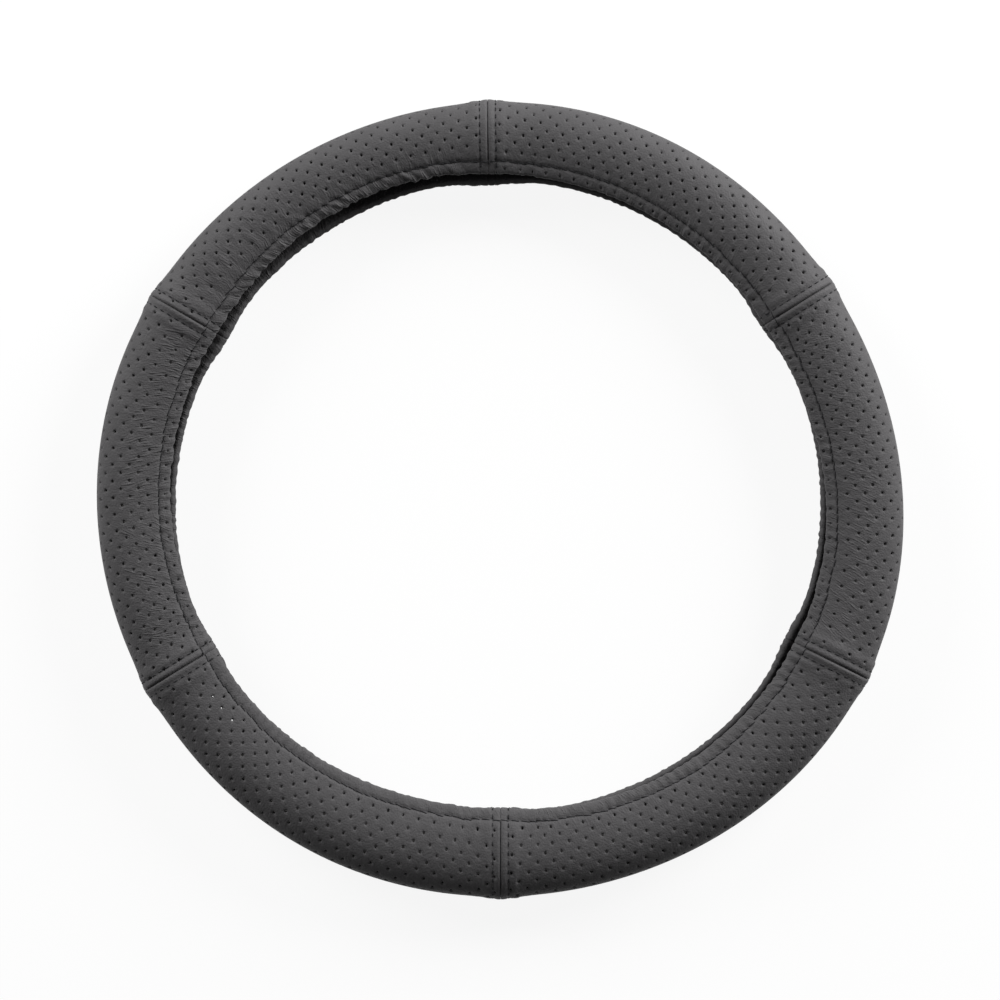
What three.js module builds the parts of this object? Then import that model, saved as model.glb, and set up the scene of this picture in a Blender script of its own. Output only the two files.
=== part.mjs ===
// Steering wheel cover: six perforated leather panels sewn end to end into a ring with a C section,
// gathered by two elastic bands that run inside its turned-under hems.
// Millimetres, +Z up. The ring lies on its rear flap, with the front flap on top.
import * as THREE from "three";

// Leather and elastic
const LEATHER = 1.1; // one layer
const CLEARANCE = 0.3; // between pieces that touch
const ELASTIC_WIDTH = 4;
const ELASTIC_THICKNESS = 0.9;

// Plan of the ring. A wave is how far the soft ring is out of round: the number of lobes,
// the height of a lobe, and the direction in degrees that one of them points to.
const OUTER_EDGE = {
  radius: 191.1,
  waves: [
    { lobes: 2, by: 1.8, towards: -19 },
    { lobes: 3, by: 0.85, towards: -29.5 },
    { lobes: 4, by: 0.85, towards: -21 },
  ],
};
const FRONT_HEM_EDGE = {
  radius: 153.1,
  waves: [
    { lobes: 1, by: 3.35, towards: 103 },
    { lobes: 2, by: 3.0, towards: -25 },
    { lobes: 3, by: 1.45, towards: -31 },
    { lobes: 6, by: 0.5, towards: -6 },
  ],
};
const REAR_HEM_EDGE = {
  radius: 152.9,
  waves: [
    { lobes: 1, by: 1.5, towards: 121 },
    { lobes: 2, by: 1.65, towards: 1 },
    { lobes: 3, by: 1.0, towards: -32.5 },
  ],
  seamDip: 1.75, // how far the edge sags towards the ring's middle at a seam
};
const SEAM_DIP_SPREAD = 4.5; // degrees to either side of the seam
const SEAM_ANGLES = [33.4, 91.8, 149.4, 207.9, 270.1, 334];

// Section of the ring
const EQUATOR_HEIGHT = 13.5;
const BEND_HANDLE = 15.5; // how far the outer bend runs on upwards and downwards
const FLAP_HANDLE_SHARE = 0.42; // of the way from the stitch line to the outer edge
const FRONT_HEM_HEIGHT = 22.3; // of the outer face at the hem's edge
const FRONT_HEM_DROOP = 22; // degrees
const REAR_HEM_HEIGHT = 3.6;
const REAR_HEM_DROOP = 18;

// Hem: the leather is turned under around the elastic and stitched down
const HEM_WIDTH = 6.2; // from the folded edge to the stitch line
const HEM_ALLOWANCE = 9.5; // from the folded edge to the raw edge inside
const TUNNEL_HEIGHT = ELASTIC_THICKNESS + 2 * CLEARANCE;
const TUNNEL_WIDTH = ELASTIC_WIDTH + 2 * CLEARANCE;
const HEM_THICKNESS = 2 * LEATHER + TUNNEL_HEIGHT;
const ALLOWANCE_SLIT = 0.3; // between the flap and the turned-under edge at the stitches
const STITCH_GROOVE = 0.4; // how deep the stitches pull the hem down
const HEM_PUFF = 0.3; // how far the hem swells between its edge and its stitches
const HEM_PUFF_CREST = 3.8; // from the hem's edge
const PLEAT_RUN = 2.2; // how far the pleats run on past the stitches
const GATHER_HEIGHT = 0.38; // of the pleats that the elastic draws up, above and below the hem
const GATHERS_PER_PANEL = 16;
// The gathers' height varies along the ring as a sum of slow and quick waves
const GATHER_UNEVENNESS = [
  { lobes: 5, by: 0.25, towards: 18 },
  { lobes: 13, by: 0.2, towards: 2 },
];
const GATHER_MEAN = 0.8;
const GATHER_START = 6; // from a seam, where the doubled leather stays smooth

// Seams: each panel's end is turned under and topstitched, which doubles the leather there
const PANEL_GAP = CLEARANCE;
const SEAM_CREST = 1.8; // from the seam to the crest of the roll beside it
const SEAM_PROFILE = [
  { from: PANEL_GAP / 2, raised: 0.1 }, // the dark valley between two panels
  { from: 0.7, raised: 0.9 }, // the folded end's round edge
  { from: SEAM_CREST, raised: 1.25 },
  { from: 3.8, raised: 0.75 }, // the row of topstitches
  { from: 5.2, raised: 1.0 },
  { from: 8, raised: 0.75 }, // the seam allowance ends underneath
  { from: 15, raised: 0 },
];
const HEM_SEAM_SHARE = 0.5; // of the seam's rise that is left on the hem

// How finely the forms are divided
const FLAP_STEPS = [0.11, 0.25, 0.42, 0.61, 0.82];
const INNER_STEPS = [0.2, 0.44, 0.7];
const WALL_SPANS = 7; // along a panel, between its two seams
const INNER_SPANS = 8;

const radians = THREE.MathUtils.degToRad;

function sumOfWaves(waves, angle) {
  return waves.reduce(
    (sum, { lobes, by, towards }) => sum + by * Math.cos(lobes * (angle - radians(towards))),
    0,
  );
}

// How near an angle is to a seam: 1 at the seam, and fading to nothing on both sides of it.
function nearnessToSeam(angle) {
  return SEAM_ANGLES.reduce((sum, seam) => {
    const away = THREE.MathUtils.euclideanModulo(angle - radians(seam) + Math.PI, 2 * Math.PI) - Math.PI;
    return sum + Math.exp(-0.5 * (away / radians(SEAM_DIP_SPREAD)) ** 2);
  }, 0);
}

function edgeRadius(edge, angle) {
  const dip = (edge.seamDip ?? 0) * nearnessToSeam(angle);
  return edge.radius + sumOfWaves(edge.waves, angle) - dip;
}

// The leather's rise beside a seam, as a function of the distance from the seam.
function seamRise(distance) {
  const last = SEAM_PROFILE.length - 1;
  for (let i = 0; i < last; i++) {
    const a = SEAM_PROFILE[i];
    const b = SEAM_PROFILE[i + 1];
    if (distance < b.from) {
      const share = Math.max(0, (distance - a.from) / (b.from - a.from));
      return THREE.MathUtils.lerp(a.raised, b.raised, share);
    }
  }
  return 0;
}

// One flap's half of the section, in the plane of the ring's radius (x) and height (y).
// The outer face is a cubic curve from the equator to the stitch line, and a straight hem.
function flapAt(side, angle) {
  const front = side > 0;
  const outer = edgeRadius(OUTER_EDGE, angle);
  const droop = radians(front ? FRONT_HEM_DROOP : REAR_HEM_DROOP);
  const tip = new THREE.Vector2(
    edgeRadius(front ? FRONT_HEM_EDGE : REAR_HEM_EDGE, angle),
    front ? FRONT_HEM_HEIGHT : REAR_HEM_HEIGHT,
  );
  const back = new THREE.Vector2(Math.cos(droop), side * Math.sin(droop));
  const inward = new THREE.Vector2(Math.sin(droop), -side * Math.cos(droop));
  const stitchLine = tip.clone().addScaledVector(back, HEM_WIDTH);
  const handle = FLAP_HANDLE_SHARE * (outer - stitchLine.x);
  const curve = new THREE.CubicBezierCurve(
    new THREE.Vector2(outer, EQUATOR_HEIGHT),
    new THREE.Vector2(outer, EQUATOR_HEIGHT + side * BEND_HANDLE),
    stitchLine.clone().addScaledVector(back, handle),
    stitchLine,
  );

  // A point of the flap at a share of the way from the equator, and a depth into the leather
  const onFlap = (share, depth) => {
    const tangent = curve.getTangent(share);
    const inwardHere = new THREE.Vector2(-tangent.y * side, tangent.x * side);
    const point = curve.getPoint(share);
    point.y = Math.max(point.y, 0);
    point.addScaledVector(inwardHere, depth);
    point.y = Math.max(point.y, depth > 0 ? depth : 0);
    return point;
  };
  // A point of the hem, at a distance back from its edge, and a depth into it. Past the stitch
  // line it follows the flap, where a cubic curve starts at three times its handle's speed.
  const onHem = (distance, depth) => {
    if (distance > HEM_WIDTH) {
      return onFlap(1 - (distance - HEM_WIDTH) / (3 * handle), depth);
    }
    return tip.clone().addScaledVector(back, distance).addScaledVector(inward, depth);
  };
  return { onFlap, onHem };
}

// Places along a panel. Near a seam they are planes parallel to it, so that the rolls and the
// gap between two panels keep their width. Between the seams they are planes through the axis.
function placeNearStart(panel, distance) {
  return { angleAt: (radius) => panel.start + Math.asin(distance / radius), distance };
}

function placeNearEnd(panel, distance) {
  return { angleAt: (radius) => panel.end - Math.asin(distance / radius), distance };
}

function placesAlong(panel, distances, spans) {
  const places = distances.map((distance) => placeNearStart(panel, distance));
  const last = distances[distances.length - 1];
  const inset = last / edgeRadius(FRONT_HEM_EDGE, panel.start);
  for (let i = 1; i < spans; i++) {
    const angle = THREE.MathUtils.lerp(panel.start + inset, panel.end - inset, i / spans);
    const radius = edgeRadius(OUTER_EDGE, angle);
    const distance = radius * Math.min(angle - panel.start, panel.end - angle);
    places.push({ angleAt: () => angle, distance, step: i });
  }
  for (const distance of [...distances].reverse()) {
    places.push(placeNearEnd(panel, distance));
  }
  return places;
}

// The rows that run along a panel, in their order around the section: over the front flap,
// round its hem, back along the inner face, and the same in reverse for the rear flap.
function rowsOfSide(side) {
  const fold = HEM_THICKNESS / 2;
  const corner = fold * (1 - Math.SQRT1_2);
  const flap = FLAP_STEPS.map((share) => ({ side, layout: "wall", flap: share, depth: 0, rise: 1 }));
  const hem = [
    { distance: HEM_WIDTH + PLEAT_RUN, depth: 0, gather: 0.5 },
    { distance: HEM_WIDTH, depth: STITCH_GROOVE, gather: 0.3 },
    { distance: HEM_PUFF_CREST, depth: -HEM_PUFF, gather: 1 },
    { distance: corner, depth: corner, gather: 1 },
    { distance: 0, depth: fold, gather: 0.9, pushed: "out" },
    { distance: corner, depth: HEM_THICKNESS - corner, gather: 0.5, pushed: "out" },
  ].map((row) => ({ side, layout: "gathered", rise: HEM_SEAM_SHARE, ...row }));
  const tunnelEnd = LEATHER + TUNNEL_WIDTH;
  const inside = [
    { distance: fold, depth: HEM_THICKNESS },
    { distance: HEM_WIDTH, depth: 2 * LEATHER + ALLOWANCE_SLIT },
    { distance: HEM_ALLOWANCE, depth: 2 * LEATHER + ALLOWANCE_SLIT },
    { distance: HEM_ALLOWANCE, depth: LEATHER + ALLOWANCE_SLIT },
    { distance: HEM_WIDTH, depth: LEATHER + ALLOWANCE_SLIT },
    { distance: tunnelEnd, depth: LEATHER + TUNNEL_HEIGHT },
    { distance: LEATHER, depth: LEATHER + TUNNEL_HEIGHT },
    { distance: LEATHER, depth: LEATHER },
    { distance: HEM_WIDTH, depth: LEATHER },
    { distance: HEM_ALLOWANCE, depth: LEATHER },
    ...[...INNER_STEPS].reverse().map((share) => ({ flap: share, depth: LEATHER })),
  ].map((row) => ({ side, layout: "inner", ...row }));
  return [...flap, ...hem, ...inside];
}

const ROWS = [
  { side: 1, layout: "wall", flap: 0, depth: 0, rise: 1 },
  ...rowsOfSide(1),
  { side: 1, layout: "inner", flap: 0, depth: LEATHER },
  ...rowsOfSide(-1).reverse(),
];

// How high the gathers stand at a place: alternately up and down, and not at all by a seam.
function gatherAt(place, angle) {
  if (place.step === undefined) {
    return 0;
  }
  const upOrDown = place.step % 2 === 0 ? 1 : -1;
  return GATHER_HEIGHT * upOrDown * (GATHER_MEAN + sumOfWaves(GATHER_UNEVENNESS, angle));
}

// A point of the section, given by its share of the way round the flap or by its distance back
// from the hem's edge. Seams and gathers lift the outer face, and push out the hem's round edge.
function pointOn(row, place) {
  const onFlap = row.flap !== undefined;
  const roughAngle = place.angleAt(onFlap ? OUTER_EDGE.radius : FRONT_HEM_EDGE.radius);
  const seamLift = (row.rise ?? 0) * seamRise(place.distance);
  const lift = seamLift + (row.gather ?? 0) * gatherAt(place, roughAngle);
  const section = flapAt(row.side, roughAngle);
  let point;
  if (onFlap) {
    point = section.onFlap(row.flap, row.depth - lift);
  } else if (row.pushed === "out") {
    point = section.onHem(row.distance - lift, row.depth);
  } else {
    point = section.onHem(row.distance, row.depth - lift);
  }
  const angle = place.angleAt(point.x);
  return new THREE.Vector3(point.x * Math.cos(angle), point.x * Math.sin(angle), point.y);
}

// A mesh being built up from rows of points
class Skin {
  constructor() {
    this.positions = [];
    this.faces = [];
  }

  addRow(points) {
    const first = this.positions.length / 3;
    points.forEach((point) => this.positions.push(point.x, point.y, point.z));
    return points.map((point, i) => ({ index: first + i, along: Math.atan2(point.y, point.x) }));
  }

  // Joins two rows that run the same way but may have different numbers of points.
  join(a, b) {
    const margin = 0.1;
    const start = a[0].along - margin;
    const along = (item) => THREE.MathUtils.euclideanModulo(item.along - start, 2 * Math.PI);
    let i = 0;
    let j = 0;
    while (i < a.length - 1 || j < b.length - 1) {
      const nextOfA = i < a.length - 1 ? along(a[i + 1]) + along(a[i]) : Infinity;
      const nextOfB = j < b.length - 1 ? along(b[j + 1]) + along(b[j]) : Infinity;
      if (nextOfA <= nextOfB) {
        this.faces.push(a[i].index, a[i + 1].index, b[j].index);
        i += 1;
      } else {
        this.faces.push(a[i].index, b[j + 1].index, b[j].index);
        j += 1;
      }
    }
  }

  // Closes an end with the section's outline, facing against or along the rows.
  close(outline, indices, alongRows) {
    for (const [a, b, c] of THREE.ShapeUtils.triangulateShape(outline, [])) {
      const face = [indices[a], indices[b], indices[c]];
      this.faces.push(...(alongRows ? face.reverse() : face));
    }
  }

  geometry() {
    return closedGeometry(this.positions, this.faces);
  }
}

function closedGeometry(positions, faces) {
  const geometry = new THREE.BufferGeometry();
  geometry.setAttribute("position", new THREE.Float32BufferAttribute(positions, 3));
  geometry.setIndex(faces);
  geometry.computeVertexNormals();
  return geometry;
}

function innerPlaces(panel) {
  return placesAlong(panel, [PANEL_GAP / 2], INNER_SPANS);
}

function panelGeometry(panel) {
  const edge = PANEL_GAP / 2;
  const layouts = {
    wall: placesAlong(panel, SEAM_PROFILE.map((step) => step.from), WALL_SPANS),
    gathered: placesAlong(panel, [edge, SEAM_CREST, GATHER_START], 2 * GATHERS_PER_PANEL),
    inner: innerPlaces(panel),
  };
  const skin = new Skin();
  const points = ROWS.map((row) => layouts[row.layout].map((place) => pointOn(row, place)));
  const rows = points.map((row) => skin.addRow(row));
  rows.forEach((row, i) => skin.join(row, rows[(i + 1) % rows.length]));
  for (const atEnd of [false, true]) {
    const outline = points.map((row) => row.at(atEnd ? -1 : 0));
    const flat = outline.map((point) => new THREE.Vector2(Math.hypot(point.x, point.y), point.z));
    skin.close(flat, rows.map((row) => row.at(atEnd ? -1 : 0).index), atEnd);
  }
  return skin.geometry();
}

// An elastic band runs all round inside one hem, along the same places as the hem's tunnel.
function elasticGeometry(side, panels) {
  const near = LEATHER + CLEARANCE;
  const corners = [
    { distance: near, depth: near },
    { distance: near + ELASTIC_WIDTH, depth: near },
    { distance: near + ELASTIC_WIDTH, depth: near + ELASTIC_THICKNESS },
    { distance: near, depth: near + ELASTIC_THICKNESS },
  ].map((corner) => ({ side, ...corner }));
  const places = panels.flatMap(innerPlaces);
  const positions = places.flatMap((place) =>
    corners.flatMap((corner) => pointOn(corner, place).toArray()),
  );
  const faces = [];
  places.forEach((_, i) => {
    const here = corners.length * i;
    const next = corners.length * ((i + 1) % places.length);
    corners.forEach((_corner, k) => {
      const l = (k + 1) % corners.length;
      const quad = [here + k, next + k, next + l, here + l];
      const [a, b, c, d] = side < 0 ? quad : [...quad].reverse();
      faces.push(a, b, c, a, c, d);
    });
  });
  return closedGeometry(positions, faces);
}

function leatherMaterial() {
  return new THREE.MeshStandardMaterial({ color: 0x4b4b4c, roughness: 0.62, metalness: 0 });
}

function elasticMaterial() {
  return new THREE.MeshStandardMaterial({ color: 0x1b1b1c, roughness: 0.9, metalness: 0 });
}

const panels = SEAM_ANGLES.map((angle, i) => {
  const next = SEAM_ANGLES[(i + 1) % SEAM_ANGLES.length];
  return { start: radians(angle), end: radians(next > angle ? next : next + 360) };
});
const PANEL_NAMES = ["upper_right", "upper_left", "left", "lower_left", "lower_right", "right"];

const cover = new THREE.Group();
panels.forEach((panel, i) => {
  const mesh = new THREE.Mesh(panelGeometry(panel), leatherMaterial());
  mesh.name = `leather_panel_${PANEL_NAMES[i]}`;
  cover.add(mesh);
});
for (const [name, side] of [["front_elastic", 1], ["rear_elastic", -1]]) {
  const mesh = new THREE.Mesh(elasticGeometry(side, panels), elasticMaterial());
  mesh.name = name;
  cover.add(mesh);
}

export default cover;
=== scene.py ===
# %% [markdown]
# # A stretch-on steering wheel cover in perforated leather
#
# The real cover is six pieces of dark grey cow leather, sewn end to end into a ring. The ring's
# two long edges are turned under around an elastic band, which gathers them, so the leather
# curls into a C section that grips a steering wheel's rim. Here it lies slack on a table and is
# seen from straight above.
#
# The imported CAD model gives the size, the panels and the elastics. This lesson cuts each panel
# flat, punches it, wraps it onto the ring, sews it, and gives leather, thread and elastic their
# finishes.

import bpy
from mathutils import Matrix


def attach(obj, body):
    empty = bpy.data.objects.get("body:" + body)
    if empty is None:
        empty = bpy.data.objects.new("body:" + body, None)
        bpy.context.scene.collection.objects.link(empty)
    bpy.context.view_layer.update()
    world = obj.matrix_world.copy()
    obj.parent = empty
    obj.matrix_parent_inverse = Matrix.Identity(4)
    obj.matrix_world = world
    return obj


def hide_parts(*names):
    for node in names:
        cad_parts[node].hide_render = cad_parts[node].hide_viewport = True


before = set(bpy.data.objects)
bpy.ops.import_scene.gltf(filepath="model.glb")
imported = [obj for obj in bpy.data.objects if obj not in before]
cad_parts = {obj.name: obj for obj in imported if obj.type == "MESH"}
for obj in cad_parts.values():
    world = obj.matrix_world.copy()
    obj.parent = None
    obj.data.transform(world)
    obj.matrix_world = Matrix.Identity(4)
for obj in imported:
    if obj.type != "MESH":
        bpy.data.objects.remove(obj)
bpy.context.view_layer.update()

# %% Tools and units
import math

import bmesh
import bpy
import numpy as np
from mathutils import Matrix, Vector

MM = 0.001  # everything below is measured in millimetres and turned to metres at the end
scene = bpy.context.scene
print("rough look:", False)

# %% [markdown]
# ## Camera
#
# The photograph was taken from straight above the ring's middle. A long lens from 1.6 m keeps
# the perspective small, as in a catalogue picture. The focal length follows from how many
# millimetres one pixel of a 1000 pixel frame covers at the height of the ring's equator.

# %% Camera straight above the ring
FRAME_PIXELS = 1000
MM_PER_PIXEL = 0.478  # at the equator
EQUATOR_HEIGHT = 13.5
CAMERA_ABOVE_EQUATOR = 1600
SENSOR_WIDTH = 36
RING_MIDDLE_PIXEL = (499.95, 501.12)

camera_data = bpy.data.cameras.new("camera_above")
camera_data.sensor_width = SENSOR_WIDTH
camera_data.lens = SENSOR_WIDTH * CAMERA_ABOVE_EQUATOR / (FRAME_PIXELS * MM_PER_PIXEL)
camera = bpy.data.objects.new("camera_above", camera_data)
camera.location = (
    (FRAME_PIXELS / 2 - RING_MIDDLE_PIXEL[0]) * MM_PER_PIXEL * MM,
    (RING_MIDDLE_PIXEL[1] - FRAME_PIXELS / 2) * MM_PER_PIXEL * MM,
    (EQUATOR_HEIGHT + CAMERA_ABOVE_EQUATOR) * MM,
)
scene.collection.objects.link(camera)
scene.camera = camera
print("lens %.1f mm" % camera_data.lens)

# %% [markdown]
# ## The ring's outline
#
# A slack cover is never a true circle. Its outer edge and its two hems are each described by a
# mean radius and a few soft waves around the ring, the same as in the CAD model: a wave has a
# number of lobes, a height, and the direction in degrees that a lobe points to. The lower hem
# also sags a little towards the middle at each seam.

# %% Edges of the ring as radius by angle
OUTER_EDGE = {"radius": 191.1, "waves": [(2, 1.8, -19), (3, 0.85, -29.5), (4, 0.85, -21)]}
FRONT_HEM_EDGE = {
    "radius": 153.1,
    "waves": [(1, 3.35, 103), (2, 3.0, -25), (3, 1.45, -31), (6, 0.5, -6)],
}
REAR_HEM_EDGE = {
    "radius": 152.9,
    "waves": [(1, 1.5, 121), (2, 1.65, 1), (3, 1.0, -32.5)],
    "seam_dip": 1.75,
}
SEAM_DIP_SPREAD = 4.5
SEAM_ANGLES = [33.4, 91.8, 149.4, 207.9, 270.1, 334]


def edge_radius(edge, angle):
    radius = np.full_like(angle, edge["radius"])
    for lobes, by, towards in edge["waves"]:
        radius += by * np.cos(lobes * (angle - math.radians(towards)))
    for seam in SEAM_ANGLES:
        away = (np.degrees(angle) - seam + 180) % 360 - 180
        radius -= edge.get("seam_dip", 0) * np.exp(-0.5 * (away / SEAM_DIP_SPREAD) ** 2)
    return radius


TABLE_STEP = math.radians(0.5)
table_angles = np.arange(0, 2 * math.pi + TABLE_STEP / 2, TABLE_STEP)
outer_radius = edge_radius(OUTER_EDGE, table_angles)
print("outer edge %.1f to %.1f mm" % (outer_radius.min(), outer_radius.max()))

# %% [markdown]
# ## The section of the ring
#
# Cut the ring with a knife and the leather shows a C: from the upper hem over the top, down the
# outside and back under to the lower hem. Each half is one cubic curve, so the bend is round
# outside and flattens towards the hem, as leather does over a hollow. At each hem the leather
# turns back on itself around the elastic.
#
# One number, `across`, counts millimetres along the flat leather from the upper hem's folded
# edge. It is negative on the part turned under. All later steps place things by it.

# %% Leather and hem sizes
LEATHER = 1.1
CLEARANCE = 0.3
ELASTIC_THICKNESS = 0.9
HEM_THICKNESS = 2 * LEATHER + ELASTIC_THICKNESS + 2 * CLEARANCE
HEM_WIDTH = 6.2
HEM_ALLOWANCE = 9.5
ALLOWANCE_DEPTH = 2 * LEATHER + CLEARANCE
BEND_HANDLE = 15.5
FLAP_HANDLE_SHARE = 0.42
HEMS = {
    1: {"edge": FRONT_HEM_EDGE, "height": 22.3, "droop": math.radians(22)},
    -1: {"edge": REAR_HEM_EDGE, "height": 3.6, "droop": math.radians(18)},
}
FOLD = HEM_THICKNESS / 2  # radius of the hem's rounded edge
QUARTER_FOLD = FOLD * math.pi / 2
STITCH_LINE = QUARTER_FOLD + HEM_WIDTH - FOLD  # across the leather
TURNED_UNDER = QUARTER_FOLD + HEM_ALLOWANCE - FOLD
print("hem %.1f mm thick, stitched %.2f mm from its edge" % (HEM_THICKNESS, STITCH_LINE))


# %% The flap between its stitch line and the equator
def hem_axes(side, angle):
    hem = HEMS[side]
    tip = np.stack([edge_radius(hem["edge"], angle), np.full_like(angle, hem["height"])], axis=-1)
    back = np.array([math.cos(hem["droop"]), side * math.sin(hem["droop"])])
    inward = np.array([math.sin(hem["droop"]), -side * math.cos(hem["droop"])])
    return tip, back, inward


def flap_curve(side, angle, share):
    """Points of the outer face, from the equator at share 0 to the stitch line at 1."""
    tip, back, _ = hem_axes(side, angle)
    stitched = tip + back * HEM_WIDTH
    outer = edge_radius(OUTER_EDGE, angle)
    equator = np.stack([outer, np.full_like(outer, EQUATOR_HEIGHT)], axis=-1)
    handle = FLAP_HANDLE_SHARE * (outer - stitched[..., 0])
    bend = equator + np.array([0, side * BEND_HANDLE])
    arrive = stitched + back * handle[..., None]
    s = share[None, :, None]
    p0, p1, p2, p3 = (p[:, None, :] for p in (equator, bend, arrive, stitched))
    points = (1 - s) ** 3 * p0 + 3 * (1 - s) ** 2 * s * p1 + 3 * (1 - s) * s**2 * p2 + s**3 * p3
    points[..., 1] = np.maximum(points[..., 1], 0)
    return points


CURVE_POINTS = 90
share = np.linspace(0, 1, CURVE_POINTS)
front_half = flap_curve(1, table_angles, share[::-1])
rear_half = flap_curve(-1, table_angles, share[1:])
middle = np.concatenate([front_half, rear_half], axis=1)
steps = np.linalg.norm(np.diff(middle, axis=1), axis=-1)
middle_length = np.concatenate([np.zeros((len(table_angles), 1)), np.cumsum(steps, axis=1)], axis=1)
CUT_WIDTH = 2 * STITCH_LINE + float(middle_length[:, -1].mean())
print("leather is cut %.1f mm wide, plus the hems' turnings" % CUT_WIDTH)


# %% The whole section as a table of radius and height
NORMAL_REACH = 0.4  # how far to either side of a point its direction is measured


def on_middle(row, length):
    """Points of the middle stretch of one section, and their outward normals."""
    along = middle_length[row]
    length = np.clip(length, 0, along[-1])

    def place(at):
        return np.stack([np.interp(at, along, middle[row, :, axis]) for axis in (0, 1)], axis=-1)

    step = place(np.minimum(length + NORMAL_REACH, along[-1]))
    step -= place(np.maximum(length - NORMAL_REACH, 0))
    step /= np.linalg.norm(step, axis=-1, keepdims=True)
    return place(length), np.stack([-step[:, 1], step[:, 0]], axis=-1)


def hem_back_and_depth(from_edge):
    """Where the outer face runs in a hem: distance back from the edge, and depth."""
    turn = np.clip(from_edge / FOLD, -math.pi / 2, math.pi / 2)
    back = FOLD * (1 - np.cos(turn)) + np.maximum(np.abs(from_edge) - QUARTER_FOLD, 0)
    depth = FOLD * (1 - np.sin(turn))
    closing = np.clip((back - FOLD) / (HEM_WIDTH - FOLD), 0, 1)
    under = (from_edge < -QUARTER_FOLD) * closing * (HEM_THICKNESS - ALLOWANCE_DEPTH)
    return back, depth - under


ACROSS_STEP = 0.5
table_across = np.arange(-TURNED_UNDER, CUT_WIDTH + TURNED_UNDER + ACROSS_STEP, ACROSS_STEP)
stretch = middle_length[:, -1] / (CUT_WIDTH - 2 * STITCH_LINE)
section = np.zeros((len(table_angles), len(table_across), 2))
for row, angle in enumerate(table_angles):
    points, _ = on_middle(row, (table_across - STITCH_LINE) * stretch[row])
    for side, from_edge in ((1, table_across), (-1, CUT_WIDTH - table_across)):
        tip, back, inward = hem_axes(side, np.array([angle]))
        how_far, depth = hem_back_and_depth(from_edge)
        straight = tip + how_far[:, None] * back + depth[:, None] * inward
        past = how_far - HEM_WIDTH
        length = past if side > 0 else middle_length[row, -1] - past
        curved, out = on_middle(row, length)
        curved = curved - out * ALLOWANCE_DEPTH
        hem_point = np.where(past[:, None] > 0, curved, straight)
        in_hem = from_edge < STITCH_LINE
        points = np.where(in_hem[:, None], hem_point, points)
    section[row] = points
slope = np.gradient(section, axis=1)
slope /= np.linalg.norm(slope, axis=-1, keepdims=True)
section_table = np.concatenate([section, -slope[..., 1:], slope[..., :1]], axis=-1)
print("section table", section_table.shape)


# %% Look a place up in the table
def on_ring(angle, across):
    """Radius, height and outward normal for angles in radians and places across the leather."""
    i = np.clip((angle % (2 * math.pi)) / TABLE_STEP, 0, len(table_angles) - 1.001)
    j = np.clip((across + TURNED_UNDER) / ACROSS_STEP, 0, len(table_across) - 1.001)
    i0, j0 = i.astype(int), j.astype(int)
    a, b = (i - i0)[..., None], (j - j0)[..., None]
    near = section_table[i0, j0] * (1 - b) + section_table[i0, j0 + 1] * b
    far = section_table[i0 + 1, j0] * (1 - b) + section_table[i0 + 1, j0 + 1] * b
    return near * (1 - a) + far * a


print("top of the ring at 90 degrees:", on_ring(np.array([math.pi / 2]), np.array([20.0]))[0, :2])

# %% [markdown]
# ## From the flat panel to the ring
#
# A panel's ends are folded under before sewing, so the leather is double for 8 mm beside each
# seam and stands proud as two soft rolls with a dark valley between them. The place along a
# panel is counted in millimetres from its folded end. Close to a seam the leather keeps its
# real width at every radius, as two parallel edges sewn together do. In the middle of a panel
# it narrows towards the hems, where the elastic gathers it.

# %% Sizes along a panel
RING = OUTER_EDGE["radius"]
SEAM_GAP = -0.04  # the two folded ends are sewn and pressed face to face
END_FOLD = 1.2  # radius of the folded end's outer face
QUARTER_END = END_FOLD * math.pi / 2
SEAM_ALLOWANCE = 8.0
PANEL_NAMES = ["upper_right", "upper_left", "left", "lower_left", "lower_right", "right"]
PANELS = []
for name, start, following in zip(PANEL_NAMES, SEAM_ANGLES, SEAM_ANGLES[1:] + SEAM_ANGLES[:1]):
    turn = math.radians((following - start) % 360)
    length = RING * turn - SEAM_GAP - 2 * END_FOLD + 2 * QUARTER_END
    panel = {"name": name, "start": math.radians(start), "turn": turn, "length": length}
    panel.update(seam=start, next_seam=following)
    PANELS.append(panel)
    print("%-12s %.1f mm between its folded ends" % (name, length))


# %% How the leather rises beside a seam
def smooth(x, low, high):
    t = np.clip((x - low) / (high - low), 0, 1)
    return t * t * (3 - 2 * t)


SEAM_ROLL = [  # distance from the seam, rise of the outer face
    (0.0, 1.42),
    (1.0, 1.4),
    (2.4, 1.24),
    (3.1, 1.02),
    (3.8, 0.74),
    (4.7, 0.98),
    (6.0, 0.94),
    (7.5, 0.76),
    (8.6, 0.46),
    (11.5, 0.24),
    (15.0, 0.06),
    (19.0, 0.0),
]


def seam_rise(distance):
    rise = np.zeros_like(distance)
    for (d0, r0), (d1, r1) in zip(SEAM_ROLL, SEAM_ROLL[1:]):
        inside = (distance >= d0) & (distance < d1)
        rise = np.where(inside, r0 + (r1 - r0) * smooth(distance, d0, d1), rise)
    return rise


print("rise on the roll %.2f mm" % seam_rise(np.array([1.9]))[0])


# %% Soft noise for folds
NOISE_CELLS = 64  # the noise repeats after this many units


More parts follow.
